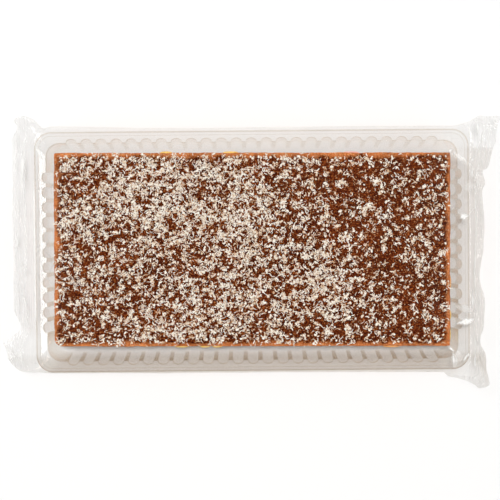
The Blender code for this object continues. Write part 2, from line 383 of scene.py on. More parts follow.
def shred_shape(name, length, width, segments, random):
    """A three-sided strip with blunt ends that bends and kinks a little along its length."""
    length *= random.uniform(0.65, 1.35)
    width *= random.uniform(0.70, 1.30)
    bend, kink = random.uniform(-0.9, 0.9), random.uniform(-0.12, 0.12, segments + 1)
    twist = random.uniform(-1, 1)
    points = []
    for step in range(segments + 1):
        share = step / segments
        angle = bend * (share - 0.5)
        middle = np.array((length * (share - 0.5) * math.cos(angle * 0.6),
                           length * (0.2 * bend * (1 - (2 * share - 1) ** 2) + kink[step]),
                           0.08 * length * math.sin(math.pi * share)))
        slim = 0.5 * width * (0.62 if step in (0, segments) else 1.0) * random.uniform(0.8, 1.15)
        for corner in range(3):
            round_angle = twist * share + 2 * math.pi * corner / 3
            across, up = slim * math.cos(round_angle), 0.62 * slim * math.sin(round_angle)
            points.append(middle + (-across * math.sin(angle), across * math.cos(angle), up))
    last = segments * 3
    ends = [(2, 1, 0), (last, last + 1, last + 2)]
    return closed_solid(name, points, ring_quads(segments + 1, 3) + ends, smooth=False)


def flake_shape(name, breadth, thick, random):
    """A flat chip with a five-cornered ragged outline, curled up at one side."""
    points = []
    for side in (-0.5, 0.5):
        for corner in range(5):
            angle = 2 * math.pi * corner / 5 + 0.3 * random.uniform(-1, 1)
            reach = 0.5 * breadth * random.uniform(0.65, 1.25)
            x, y = reach * math.cos(angle), 0.75 * reach * math.sin(angle)
            points.append((x, y, side * thick + 0.25 * abs(x)))
    sides = [(corner, (corner + 1) % 5, (corner + 1) % 5 + 5, corner + 5) for corner in range(5)]
    return closed_solid(name, points, sides + [(4, 3, 2, 1, 0), (5, 6, 7, 8, 9)], smooth=False)


def dust_shape(name, size, random):
    """A grain with six corners."""
    corners = [(1, 0, 0), (0, 0.8, 0), (-1, 0, 0), (0, -0.8, 0), (0, 0, 0.6), (0, 0, -0.6)]
    points = [0.5 * size * np.array(corner) * random.uniform(0.6, 1.3) for corner in corners]
    faces = [(side, (side + 1) % 4, tip) for side in range(4) for tip in (4, 5)]
    return closed_solid(name, points, faces, smooth=False)


def scatter_tree(name):
    """Geometry nodes that lay random copies of a few shapes on the slab by its cover."""
    tree = bpy.data.node_groups.new(name, "GeometryNodeTree")
    face = tree.interface
    face.new_socket("Slab", in_out="INPUT", socket_type="NodeSocketGeometry")
    for label in ("Pieces Per Area", "Least Size", "Most Size", "Tilt", "Heap", "Darkest", "Palest"):
        face.new_socket(label, in_out="INPUT", socket_type="NodeSocketFloat")
    for label, kind in (("Seed", "Int"), ("Shapes", "Collection"), ("Material", "Material")):
        face.new_socket(label, in_out="INPUT", socket_type="NodeSocket" + kind)
    face.new_socket("Coconut", in_out="OUTPUT", socket_type="NodeSocketGeometry")
    given = tree.nodes.new("NodeGroupInput").outputs

    def random_number(low, high, extra):
        seed = math_node(tree, "ADD", given["Seed"], extra)
        return add_node(tree, "FunctionNodeRandomValue", {2: low, 3: high, "Seed": seed},
                        data_type="FLOAT").outputs[1]

    thick = add_node(tree, "GeometryNodeInputNamedAttribute", {"Name": "cover"}, data_type="FLOAT")
    density = math_node(tree, "MULTIPLY", thick.outputs["Attribute"], given["Pieces Per Area"])
    points = add_node(tree, "GeometryNodeDistributePointsOnFaces", {
        "Mesh": given["Slab"], "Density": density, "Seed": given["Seed"]}, distribute_method="RANDOM")
    turn = add_node(tree, "ShaderNodeCombineXYZ", {
        "X": random_number(-0.5, 0.5, 11.0),
        "Y": random_number(math_node(tree, "MULTIPLY", given["Tilt"], -1.0), given["Tilt"], 23.0),
        "Z": random_number(0.0, 2 * math.pi, 37.0)})
    shapes = add_node(tree, "GeometryNodeCollectionInfo", {
        "Collection": given["Shapes"], "Separate Children": True, "Reset Children": True},
        transform_space="ORIGINAL")
    pick = add_node(tree, "FunctionNodeRandomValue", {4: 0, 5: 20, "Seed": given["Seed"]},
                    data_type="INT")
    copies = add_node(tree, "GeometryNodeInstanceOnPoints", {
        "Points": points.outputs["Points"], "Instance": shapes.outputs["Instances"],
        "Pick Instance": True, "Instance Index": pick.outputs[2], "Rotation": turn.outputs[0],
        "Scale": random_number(given["Least Size"], given["Most Size"], 41.0)})
    lift = add_node(tree, "ShaderNodeCombineXYZ", {"Z": random_number(-0.00005, given["Heap"], 53.0)})
    raised = add_node(tree, "GeometryNodeTranslateInstances", {
        "Instances": copies.outputs["Instances"], "Translation": lift.outputs[0], "Local Space": False})
    tinted = add_node(tree, "GeometryNodeStoreNamedAttribute", {
        "Geometry": raised.outputs[0], "Name": "tint",
        "Value": random_number(given["Darkest"], given["Palest"], 67.0)},
        data_type="FLOAT", domain="INSTANCE")
    real = add_node(tree, "GeometryNodeRealizeInstances", {"Geometry": tinted.outputs["Geometry"]})
    dressed = add_node(tree, "GeometryNodeSetMaterial", {
        "Geometry": real.outputs["Geometry"], "Material": given["Material"]})
    add_node(tree, "NodeGroupOutput", {"Coconut": dressed.outputs["Geometry"]})
    return tree


def run_nodes(name, tree, base, values):
    """Runs a geometry node tree on a mesh with the given inputs and returns a plain mesh."""
    holder = link(bpy.data.objects.new(name, base))
    modifier = holder.modifiers.new("scatter", "NODES")
    modifier.node_group = tree
    for item in tree.interface.items_tree:
        if item.item_type == "SOCKET" and item.in_out == "INPUT" and item.name in values:
            modifier[item.identifier] = values[item.name]
    holder.update_tag()
    depsgraph = bpy.context.evaluated_depsgraph_get()
    mesh = bpy.data.meshes.new_from_object(holder.evaluated_get(depsgraph))
    holder.modifiers.clear()
    holder.data = mesh
    mesh.name = name
    return holder


def coconut_material():
    """White flesh, each piece its own tint, with painted warm shade on its steep sides."""
    material, tree, shader = new_material("coconut", Roughness=0.6, Specular_IOR_Level=0.08)
    flesh = ramp_node(tree, attribute_node(tree, "tint"), (
        (0.0, (0.44, 0.20, 0.085)), (0.14, (0.66, 0.43, 0.26)), (0.27, (0.84, 0.71, 0.55)),
        (0.50, (0.92, 0.885, 0.805)), (1.0, (0.945, 0.925, 0.865))))
    upright = split_node(tree, tree.nodes.new("ShaderNodeNewGeometry").outputs["Normal"])["Z"]
    # painted shade: the steeper a face, the browner, as shaded coconut looks warm
    painted_side_shade = ramp_node(tree, upright, ((0.35, 0.90), (0.84, 0.0)))
    flesh = mix_colour(tree, painted_side_shade, flesh, (0.50, 0.25, 0.11))
    fibre = noise_node(tree, place_node(tree), 1600.0, 2.0)
    streak = ramp_node(tree, fibre, ((0.32, (0.88, 0.78, 0.67)), (0.48, 1.0)))
    feed(tree, shader, {"Base Color": mix_colour(tree, 1.0, flesh, streak, "MULTIPLY"),
                        "Normal": bump_node(tree, fibre, 0.3, 0.0002)})
    return material


def shape_collection(name, shapes):
    group = bpy.data.collections.new(name)
    bpy.context.scene.collection.children.link(group)
    for shape in shapes:
        bpy.context.scene.collection.objects.unlink(shape)
        group.objects.link(shape)
    return group


coconut = coconut_material()
scatter = scatter_tree("scatter_coconut")
shape_dice = np.random.default_rng(11)
# name, shape, how many, smallest and largest copy, tilt, height of the heap, darkest and
# palest tint, seed
coconut_kinds = (
    ("coconut_shreds", lambda name: shred_shape(name, *SHRED, 3, shape_dice), SHREDS_PER_M2,
     0.7, 1.3, 0.22, 0.0006, 0.10, 1.0, 5),
    ("coconut_bits", lambda name: shred_shape(name, *BIT, 2, shape_dice), BITS_PER_M2,
     0.7, 1.3, 0.30, 0.0005, 0.06, 1.0, 8),
    ("coconut_flakes", lambda name: flake_shape(name, *FLAKE, shape_dice), FLAKES_PER_M2,
     0.6, 1.4, 0.26, 0.0005, 0.14, 1.0, 13),
    ("coconut_dust", lambda name: dust_shape(name, DUST, shape_dice), DUST_PER_M2,
     0.5, 1.4, 0.8, 0.0004, 0.0, 0.45, 21),
)
for name, make_shape, per_area, least, most, tilt, heap, darkest, palest, seed in coconut_kinds:
    shapes = shape_collection(name + " shapes", [make_shape("%s_%d" % (name, number))
                                                 for number in range(SHAPES_OF_EACH)])
    piece = run_nodes(name, scatter, slab.data, {
        "Pieces Per Area": per_area, "Least Size": least, "Most Size": most, "Tilt": tilt,
        "Heap": heap, "Darkest": darkest, "Palest": palest, "Seed": seed, "Shapes": shapes,
        "Material": coconut})
    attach(piece, "root")
    for shape in list(shapes.objects):
        bpy.data.objects.remove(shape)
    bpy.data.collections.remove(shapes)


# ---- the lollies ---------------------------------------------------------------------------
# Soft fruit puff lollies, pressed whole into the mix and cut through with it, so each shows
# at a side of the slab as a smooth pastel face that swells a little out of the cut.
LOLLY_TONES = {"yellow": (0.95, 0.60, 0.10), "orange": (0.93, 0.42, 0.10),
               "pink": (0.90, 0.42, 0.38)}
STARCH = (0.95, 0.92, 0.86)
LOLLY_TONE_OF = {"front_4": "orange", "back_3": "pink", "right_1": "orange",
                 "left_1": "pink", "left_2": "pink"}
LOLLY_SWELL = 0.0010             # how far the cut face stands out
LOLLY_END = 0.0012               # depth of the rounded end inside the slab
LOLLY_SQUARE = 0.8               # 1 is an ellipse, less is squarer
LOLLY_AROUND, LOLLY_DEEP, LOLLY_FACE = 40, 8, 7
OUTWARD = {"front": (0, -1, 0), "back": (0, 1, 0), "right": (1, 0, 0), "left": (-1, 0, 0)}


def lolly_mesh(name):
    """Rings from the blunt end inside the slab, out round the rim and in over the cut face."""
    low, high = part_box("lolly_" + name)
    outward = Vector(OUTWARD[name.split("_")[0]])
    along = Vector((outward.y, -outward.x, 0))
    up = Vector((0, 0, 1))
    middle, half = (low + high) / 2, (high - low) / 2
    wide, deep, tall = abs(along.dot(half)), abs(outward.dot(half)), half.z
    steps = [(-deep + LOLLY_END * (1 - math.cos(turn)), 0.84 + 0.10 * math.sin(turn))
             for turn in np.linspace(0, math.pi / 2, LOLLY_DEEP // 2)]
    steps += [(place, 0.94 + 0.06 * (place + deep) / (2 * deep))
              for place in np.linspace(-deep * 0.5, deep, LOLLY_DEEP // 2)]
    face = [(deep + LOLLY_SWELL * math.sin(turn) ** 0.8, 0.99 * math.cos(turn))
            for turn in np.linspace(0, math.pi / 2, LOLLY_FACE + 1)[1:-1]]
    points = []
    for depth, share in steps + face:
        for turn in np.linspace(0, 2 * math.pi, LOLLY_AROUND, endpoint=False):
            x = math.copysign(abs(math.cos(turn)) ** LOLLY_SQUARE, math.cos(turn)) * wide * share
            z = math.copysign(abs(math.sin(turn)) ** LOLLY_SQUARE, math.sin(turn)) * tall * share
            place = middle + along * x + up * z + outward * depth
            uneven = 1 + 0.05 * noise.noise(place / 0.004)
            points.append(middle + (along * x + up * z) * uneven + outward * depth)
    rings = len(steps + face)
    last = (rings - 1) * LOLLY_AROUND
    ends = [range(LOLLY_AROUND)[::-1], range(last, last + LOLLY_AROUND)]
    return closed_solid("puff_" + name, points, ring_quads(rings, LOLLY_AROUND) + ends)


def lolly_material(tone):
    """Chewy sugar: a soft even colour, paler where it is dusted with starch."""
    material, tree, shader = new_material(
        "lolly_" + tone, Roughness=0.45, Subsurface_Weight=0.25,
        Subsurface_Radius=(0.004, 0.0025, 0.0012), Subsurface_Scale=0.5)
    starch = noise_node(tree, place_node(tree), 700.0, 3.0)
    base = LOLLY_TONES[tone]
    pale = tuple(0.6 * part + 0.4 * white for part, white in zip(base, STARCH))
    feed(tree, shader, {"Base Color": ramp_node(tree, starch, ((0.40, base), (0.78, pale))),
                        "Normal": bump_node(tree, starch, 0.35, 0.0003)})
    return material


lolly_materials = {tone: lolly_material(tone) for tone in LOLLY_TONES}
for node in seat_boxes:
    name = node.removeprefix("lolly_")
    tone = LOLLY_TONE_OF.get(name, "yellow")
    piece = lolly_mesh(name)
    piece.data.materials.append(lolly_materials[tone])
    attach(piece, "root")
    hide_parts(node)


# ---- the tray ------------------------------------------------------------------------------
# One sheet of clear PET drawn over a mould: a flat base, steep walls with round flutes, a
# sloping shoulder and a flat rim with a small turned-down lip. The slab stands loose in it.
tray_low, tray_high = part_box("clear_tray")
tray_half = (tray_high - tray_low) / 2
RIM_RADIUS = 0.0095              # of the rim's corners
FLANGE_WIDTH = 0.0023
FLANGE_ROUND = 0.0003
LIP_DROP = 0.0014
LIP_ROUND = 0.0005
WELL_INSET = 0.0062              # from the rim to the top of the wall
WELL_RADIUS = 0.0078             # of the well's corners
SHOULDER_DROP = 0.0024
WALL_DRAFT = 0.0024              # how far the wall leans in towards the base
FLUTE_PITCH = 0.00842
FLUTE_WIDTH = 0.0062
FLUTE_DEPTH = 0.0023
FLUTE_TAPER = 0.7                # its depth at the base, as a share of that at the top
FLUTES_LONG, FLUTES_SHORT = 25, 11
FLUTE_STEPS, CORNER_STEPS = 10, 14
FILLET = 0.0013                  # between wall and base
FILLET_START = 0.00003
ROUND_MIDDLE = 0.29              # how far in and up the middle of a quarter round lies
TRAY_BASE = 0.00060              # the wrap passes under the tray
MERGE_GAP = 0.00002


def fluted_outline(half_x, half_y, radius, depth):
    """The well's outline anticlockwise from +X: rows of x, y, how far it stands out, and how
    much painted fold shade goes there: 1 at a flute's two edges, a half round the corners."""
    rows = []
    middle_x, middle_y = half_x - radius, half_y - radius
    for quarter, count in enumerate((FLUTES_LONG, FLUTES_SHORT) * 2):
        turn = quarter * math.pi / 2
        corner = ((1, 1), (-1, 1), (-1, -1), (1, -1))[quarter]
        for step in range(CORNER_STEPS + 1):
            angle = turn + math.pi / 2 * step / CORNER_STEPS
            rows.append((corner[0] * middle_x + radius * math.cos(angle),
                         corner[1] * middle_y + radius * math.sin(angle), 0.0, 0.5))
        out_x, out_y = math.cos(turn + math.pi / 2), math.sin(turn + math.pi / 2)
        reach = half_y if quarter in (0, 2) else half_x
        for flute in range(count):
            centre = (flute - (count - 1) / 2) * FLUTE_PITCH
            for step in range(FLUTE_STEPS + 1):
                angle = math.pi * step / FLUTE_STEPS
                along = centre - FLUTE_WIDTH / 2 * math.cos(angle)
                out = depth * math.sin(angle)
                rows.append((out_x * (reach + out) - out_y * along,
                             out_y * (reach + out) + out_x * along, out,
                             1.0 if step in (0, FLUTE_STEPS) else 0.0))
    return np.array(rows)


def level(loop, height):
    return np.column_stack([loop, np.broadcast_to(height, len(loop))])


def tray_rings():
    """Rings of points from the middle of the base up the wall and out to the lip, and how
    much painted shade and painted reflection the tray's tint takes at each point."""
    well = (tray_half.x - WELL_INSET, tray_half.y - WELL_INSET)
    wall_top = tray_high.z - SHOULDER_DROP
    rise = SHOULDER_DROP / (WELL_INSET - FLANGE_WIDTH)
    rings, painted_fold_tints = [], []

    def add(points, bend):
        rings.append(points)
        painted_fold_tints.append(np.broadcast_to(bend, len(points)))

    def wall(share_up, inset, depth, height, edges, bend=0.0, painted_tip_tint=0.0):
        """A ring in the wall: share_up is how far up the draft it is, inset draws it in.
        Painted shade and painted reflection fall most on the flutes' edges at the front and on
        their outer ends at the right and the back."""
        draw = WALL_DRAFT * (1 - share_up) + inset
        outline = fluted_outline(well[0] - draw, well[1] - draw, WELL_RADIUS - inset, depth)
        across, along = outline[:, 0] / tray_half.x, outline[:, 1] / tray_half.y
        fold_shade_by_side = np.clip(0.50 + 0.10 * across - 0.60 * along, 0.26, 1.0)
        side = np.where(np.abs(across) > 0.92, 0.55 + 0.35 * across, np.where(along > 0, 0.3, 0.0))
        tip = side * (outline[:, 2] > 0.3 * depth)
        ring = level(outline[:, :2], height)
        add(ring, np.maximum(bend, fold_shade_by_side * outline[:, 3] * edges + painted_tip_tint * tip))
        return outline, ring

    def rim(inset, drop):
        outline = fluted_outline(tray_half.x - inset, tray_half.y - inset, RIM_RADIUS - inset, 0.0)
        return level(outline[:, :2], tray_high.z - drop)

    low_depth = FLUTE_DEPTH * FLUTE_TAPER
    wall(0.0, FILLET * 3.0, 0.0, TRAY_BASE, 0.0)
    wall(0.0, FILLET * 1.7, low_depth * 0.7, TRAY_BASE, 0.0)
    wall(0.0, FILLET, low_depth, TRAY_BASE + FILLET_START, 0.0)
    wall(0.0, FILLET * ROUND_MIDDLE, low_depth, TRAY_BASE + FILLET * ROUND_MIDDLE, 0.3)
    for share in (0.0, 0.1, 0.22, 0.36, 0.52, 0.70, 0.88, 0.97):
        wall(0.06 + 0.94 * share, 0.0, FLUTE_DEPTH * (FLUTE_TAPER + (1 - FLUTE_TAPER) * share),
             TRAY_BASE + FILLET + (wall_top - TRAY_BASE - FILLET) * share, 0.60 + 0.40 * share,
             0.5 if share > 0.95 else 0.0, 0.50 if share > 0.5 else 0.0)
    outline, brim = wall(1.0, 0.0, FLUTE_DEPTH, 0.0, 1.0, 0.6)
    brim[:, 2] = wall_top + outline[:, 2] * rise
    flange = rim(FLANGE_WIDTH, 0.0)
    for share in (0.09, 0.5, 0.93):
        add(brim + (flange - brim) * share, 0.0)
    add(flange, 0.35)
    for inset, drop, bend in (
            (FLANGE_WIDTH - FLANGE_ROUND, 0.0, 0.0), (LIP_ROUND * 2.0, 0.0, 0.0),
            (LIP_ROUND, 0.0, 0.45), (LIP_ROUND * ROUND_MIDDLE, LIP_ROUND * ROUND_MIDDLE, 0.5),
            (0.0, LIP_ROUND, 0.6), (0.0, LIP_DROP, 0.6)):
        add(rim(inset, drop), bend)
    return rings, np.concatenate(painted_fold_tints)


SHADED_INSET, SHADED_EASE = 0.0105, 0.004    # where the shade starts and how fast it deepens
BACK_CORNER = 0.010                          # the part of the right side that stays lit


def far_side(points):
    """The side away from the light: 1 at the front, less to the right, 0 at the back left."""
    front = np.clip((-points[:, 1] - tray_half.y + SHADED_INSET) / SHADED_EASE, 0, 1)
    right = np.clip((points[:, 0] - tray_half.x + SHADED_INSET) / SHADED_EASE, 0, 1)
    return np.maximum(front, 0.15 * right * (points[:, 1] < tray_half.y - BACK_CORNER))


def skin_of_rings(name, rings, painted_fold_tints):
    """One skin over closed rings, its middle shut with one face and turned to face up."""
    points = np.concatenate(rings)
    around = len(rings[0])
    made = mesh_object(name, points, ring_quads(len(rings), around) + [range(around)])
    # the bend attribute is painted shade and painted reflection along the tray's flutes and lip
    float_attribute(made.data, "bend", painted_fold_tints)
    # painted shade on the side away from the light
    float_attribute(made.data, "shade", far_side(points))
    form = bmesh.new()
    form.from_mesh(made.data)
    bmesh.ops.remove_doubles(form, verts=form.verts, dist=MERGE_GAP)
    bmesh.ops.recalc_face_normals(form, faces=form.faces)
    if max(form.faces, key=lambda face: face.calc_area()).normal.z < 0:
        bmesh.ops.reverse_faces(form, faces=form.faces)
    form.to_mesh(made.data)
    form.free()
    return made


tray = skin_of_rings("fluted_tray", *tray_rings())


# painted shade: the tray's and the film's tint on the side away from the light
AWAY_FROM_LIGHT = (0.80, 0.765, 0.73)
LIT_MIRROR = 0.25                # how much of the mirroring holds back light and shadow


def clear_sheet(name, square_on, glancing, roughness, through, edge_on, haze, painted_fold_tint=None):
    """Thin clear sheet: it mirrors a little square on and much more at a glance, and lets
    the rest through, tinted by through, or by edge_on where the way through it is long.
    Haze is the share that scatters as white, as a number or as a function that adds its
    nodes, and the last tint is painted shade and painted reflection along the tray's folds
    and lip; the shade attribute paints shade on the side away from the light. The light
    isn't refracted, as the sheet is too thin to shift what lies behind it, and its shadow
    is as faint as a thin sheet's."""
    material, tree, shader = new_material(name, Base_Color=(0.88, 0.875, 0.86, 1.0), Roughness=0.5)
    place = place_node(tree)
    facing = add_node(tree, "ShaderNodeLayerWeight", {"Blend": 0.5}).outputs["Facing"]
    mirror = math_node(tree, "MULTIPLY_ADD", math_node(tree, "POWER", facing, 8.0),
                       glancing - square_on, square_on)
    tint = ramp_node(tree, facing, ((0.72, through), (0.98, edge_on)))
    if painted_fold_tint:
        # painted shade and painted reflection along the tray's folds, read from the bend attribute
        tint = mix_colour(tree, attribute_node(tree, "bend"), tint, painted_fold_tint)
    dimmed = mix_colour(tree, 1.0, tint, AWAY_FROM_LIGHT, "MULTIPLY")
    tint = mix_colour(tree, attribute_node(tree, "shade"), tint, dimmed)
    ray = tree.nodes.new("ShaderNodeLightPath").outputs
    lighting = math_node(tree, "MAXIMUM", ray["Is Shadow Ray"], ray["Is Diffuse Ray"])
    tint = mix_colour(tree, lighting, tint, (1.0, 1.0, 1.0))
    clear = add_node(tree, "ShaderNodeBsdfTransparent", {"Color": tint})
    uneven = bump_node(tree, noise_node(tree, place, 130.0, 2.0), 0.06, 0.0004)
    gloss = add_node(tree, "ShaderNodeBsdfGlossy", {
        "Color": (1.0, 1.0, 1.0, 1.0), "Roughness": roughness, "Normal": uneven})
    body = add_node(tree, "ShaderNodeMixShader", {
        0: haze(tree, place) if callable(haze) else haze,
        1: clear.outputs["BSDF"], 2: shader.outputs["BSDF"]})
    seen = math_node(tree, "MULTIPLY_ADD", lighting, LIT_MIRROR - 1, 1.0)
    whole = add_node(tree, "ShaderNodeMixShader", {
        0: math_node(tree, "MULTIPLY", mirror, seen),
        1: body.outputs[0], 2: gloss.outputs["BSDF"]})
    feed(tree, tree.nodes["Material Output"], {"Surface": whole.outputs[0]})
    return material


tray.data.materials.append(clear_sheet(
    "clear_pet", square_on=0.028, glancing=0.80, roughness=0.015, through=(0.996, 0.993, 0.986),
    edge_on=(0.955, 0.93, 0.88), haze=0.014, painted_fold_tint=(0.68, 0.57, 0.44)))
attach(tray, "root")
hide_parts("clear_tray")


# ---- the wrap ------------------------------------------------------------------------------
# One tube of thin clear film run round the tray and drawn over the rim, with a crimped seal
# across each end. At the corners the spare film stands out as crumpled ears.
WRAP_TURN = math.radians(-0.5)   # the film lies a little askew on the tray
WRAP_GAP = 0.00025               # between the film and the rim
FILM_HALF = 0.00010              # half the gap between the two films of a seal
FOLD_UNDER = (0.0076, 0.0058)    # how far in from the rim the film turns under the tray
UNDER_HEIGHT = 0.00004
END_CRUMPLE = 0.026              # how far in from the ends the top panel is crumpled
SIDE_UNDER = 0.0065              # how high the lower film ends along the long sides
SIDE_COUNT, END_COUNT, EAR_COUNT = 90, 112, 36
SLOPE_RINGS, SEAL_RINGS, UNDER_RINGS = 18, 30, 12
CRIMP_PITCH = 0.00135
CRIMP_HEIGHT = 0.00020
MM = 0.001
# The film's outline seen from above, in millimetres, one stretch after another from the
# back right corner round to the left: along the sides it bulges past the rim, round the
# ears it follows their crumpled edge, and across the ends it is the cut edge of the seal.
BACK_SIDE = ((114, 70.8), (52, 70.6), (4, 69.9), (-49, 69.5), (-114, 70.4))
BACK_LEFT_EAR = ((-114, 70.4), (-119.8, 69.2), (-123.4, 73.7), (-127.0, 75.5), (-130.0, 76.0),
                 (-133.0, 75.0), (-134.8, 73.3), (-133.2, 70.0), (-135.4, 65.6), (-136.9, 62.8))
LEFT_END = ((-136.9, 62.8), (-136.5, 57), (-136.0, 31), (-135.8, 17), (-135.6, -10),
            (-135.4, -33), (-131.6, -43.8), (-136.5, -48.6), (-142.0, -53.0))
FRONT_LEFT_EAR = ((-142.0, -53.0), (-139.8, -58.2), (-137.8, -63.0), (-130.4, -69.0),
                  (-121, -69.0), (-114, -69.2))
FRONT_SIDE = ((-114, -69.2), (-50, -69.6), (0, -69.2), (60, -69.1), (109, -69.2))
FRONT_RIGHT_EAR = ((109, -69.2), (111.8, -71.6), (114.8, -72.1), (120.7, -73.7), (126.4, -76.4),
                   (128.8, -78.1), (134.3, -76.4), (133.4, -68.6))
RIGHT_END = ((133.4, -68.6), (133.0, -59), (130.4, -54), (130.3, -49), (131.6, -43.7),
             (132.2, -27.8), (129.8, -16.5), (131.7, 0), (132.0, 17.5), (130.5, 33),
             (132.2, 38), (130.9, 44.8), (133.3, 46.4), (134.8, 49.2), (137.1, 58.3),
             (138.3, 61.2))
BACK_RIGHT_EAR = ((138.3, 61.2), (138.2, 68.7), (140.1, 74.8), (139.2, 75.8), (131.5, 75.7),
                  (128.8, 76.2), (125.3, 74.7), (122.5, 73.1), (118.0, 71.6), (114, 70.8))


# Painted highlights: white painted onto the film where its facets and folds would catch the light.
# Each gives its middle, length and width in millimetres, turn in degrees and strength.
PAINTED_GLINTS = ((119.6, -40.7, 11.0, 3.4, 12, 1.0), (118.6, 18.2, 4.8, 3.2, 8, 1.0),
          (119.6, -33.6, 14.0, 4.8, -14, 0.30), (121.6, 34.4, 6.0, 6.0, 10, 0.25),
          (116.5, 51.6, 18.0, 1.1, -36, 0.85), (123.9, 50.1, 2.8, 1.8, 60, 1.0),
          (123.8, 43.0, 6.0, 1.4, 90, 0.95), (126.4, 39.7, 8.4, 1.1, 58, 0.8),
          (125.6, 34.4, 5.0, 1.1, -55, 0.8), (123.2, 21.8, 6.0, 1.1, 44, 0.6),
          (126.0, -17.2, 108.0, 1.1, 89.2, 0.6), (123.6, -29.1, 11.0, 1.8, 90, 0.8),
          (127.3, 68.5, 9.0, 1.7, 85, 1.0), (123.2, 61.6, 21.0, 1.1, 102, 0.6),
          (127.3, 56.1, 13.0, 1.1, 71, 0.6), (112.4, -62.0, 10.0, 1.3, 92, 0.95),
          (113.9, -62.5, 7.0, 1.1, 86, 0.7), (111.2, -56.0, 4.8, 1.3, -49, 0.95),
          (119.3, -60.6, 7.0, 1.5, 52, 0.85), (125.3, -62.8, 9.0, 2.0, 86, 0.9),
          (-121.7, 0.8, 124.0, 1.4, 89.6, 0.8), (-118.2, 10.5, 110.0, 1.4, 90, 0.5),
          (-129.8, 47.0, 22.0, 1.2, 88, 0.8), (-128.4, 44.0, 30.0, 1.0, 90, 0.5),
          (-119.0, 56.0, 9.0, 1.6, 118, 0.8), (-129.1, -28.9, 16.0, 1.2, -74, 0.6),
          (-128.8, -9.7, 5.0, 1.6, 60, 0.6), (-133.7, 6.6, 8.0, 1.3, 90, 0.6))


def smooth_line(points, count):
    """A smooth curve through points, as count points spaced evenly, without the last."""
    control = np.array(points, float)
    ends = np.concatenate([[2 * control[0] - control[1]], control, [2 * control[-1] - control[-2]]])
    curve = []
    for before, start, finish, after in zip(ends, ends[1:], ends[2:], ends[3:]):
        for share in np.linspace(0, 1, 12, endpoint=False):
            curve.append(0.5 * (2 * start + (finish - before) * share
                                + (2 * before - 5 * start + 4 * finish - after) * share ** 2
                                + (3 * start - before - 3 * finish + after) * share ** 3))
    curve.append(control[-1])
    curve = np.array(curve)
    run = np.concatenate([[0], np.cumsum(np.linalg.norm(np.diff(curve, axis=0), axis=1))])
    places = np.linspace(0, run[-1], count, endpoint=False)
    return np.column_stack([np.interp(places, run, curve[:, axis]) for axis in (0, 1)])


def rounded_loop(half_x, half_y, radius):
    """A rounded rectangle sampled in the same stretches as the film's outline."""
    flat_x, flat_y = half_x - radius, half_y - radius
    loop = []
    for quarter, (count, span) in enumerate(((SIDE_COUNT, flat_x), (END_COUNT, flat_y)) * 2):
        turn = math.pi / 2 * (quarter + 1)
        out = np.array((math.cos(turn), math.sin(turn)))
        along = np.array((-out[1], out[0]))
        reach = half_y if quarter % 2 == 0 else half_x
        for share in np.linspace(-1, 1, count, endpoint=False):
            loop.append(out * reach + along * span * share)
        corner = out * (flat_y if quarter % 2 == 0 else flat_x) + along * span
        for angle in np.linspace(0, math.pi / 2, EAR_COUNT, endpoint=False):
            loop.append(corner + radius * (math.cos(angle) * out + math.sin(angle) * along))
    return np.array(loop)


def end_share():
    """1 along the two ends, 0 along the sides, easing from one to the other in the ears."""
    ease = 0.5 - 0.5 * np.cos(np.pi * np.linspace(0, 1, EAR_COUNT, endpoint=False))
    return np.concatenate([np.zeros(SIDE_COUNT), ease, np.ones(END_COUNT), 1 - ease] * 2)


def ear_share():
    """1 in the middle of each ear, 0 along the sides and the ends."""
    hump = np.sin(np.pi * np.linspace(0, 1, EAR_COUNT, endpoint=False)) ** 0.7
    return np.concatenate([np.zeros(SIDE_COUNT), hump, np.zeros(END_COUNT), hump] * 2)


turned = np.array(((math.cos(WRAP_TURN), math.sin(WRAP_TURN)),
                   (-math.sin(WRAP_TURN), math.cos(WRAP_TURN))))
stretches = ((BACK_SIDE, SIDE_COUNT), (BACK_LEFT_EAR, EAR_COUNT), (LEFT_END, END_COUNT),
             (FRONT_LEFT_EAR, EAR_COUNT), (FRONT_SIDE, SIDE_COUNT), (FRONT_RIGHT_EAR, EAR_COUNT),
             (RIGHT_END, END_COUNT), (BACK_RIGHT_EAR, EAR_COUNT))
cut_edge = np.concatenate([smooth_line(line, count) for line, count in stretches]) * MM @ turned
at_end, at_ear = end_share(), ear_share()
rim_edge = rounded_loop(tray_half.x + WRAP_GAP, tray_half.y + WRAP_GAP, RIM_RADIUS)
base_edge = rounded_loop(tray_half.x - FOLD_UNDER[0], tray_half.y - FOLD_UNDER[1], 0.0090)
seal_reach = 0.80 - 0.30 * at_end
seal_line = rim_edge + (cut_edge - rim_edge) * seal_reach[:, None]


def crease(points, waves):
    """Straight-edged folds, as in crumpled film: a sum of zigzags across a few directions."""
    total = np.zeros(len(points))
    wander = np.array([noise.noise(Vector(point) / 0.022) for point in points])
    for direction, length, height, phase in waves:
        way = np.array(direction, float)
        way /= np.linalg.norm(way)
        step = points @ way / length + phase + 0.55 * wander
        total += height * (np.abs(step - 2 * np.floor(step / 2 + 0.5)) * 2 - 1)
    return total


def edge_noise(size, seed):
    """A smooth random run round the cut edge, from about -1 to 1."""
    return np.array([noise.noise(Vector((x / size, y / size, seed))) for x, y in cut_edge]) * 2


loop_count = len(cut_edge)
top_level = tray_high.z + WRAP_GAP
seal_height = (0.0138 * at_end + 0.0175 * (1 - at_end)
               + 0.0012 * edge_noise(0.03, 1.0) * at_end)
edge_height = (0.0105 * at_end + 0.0120 * (1 - at_end) + 0.0030 * at_ear
               + 0.0022 * edge_noise(0.025, 5.0) * at_end)
under_height = seal_height * at_end + SIDE_UNDER * (1 - at_end)


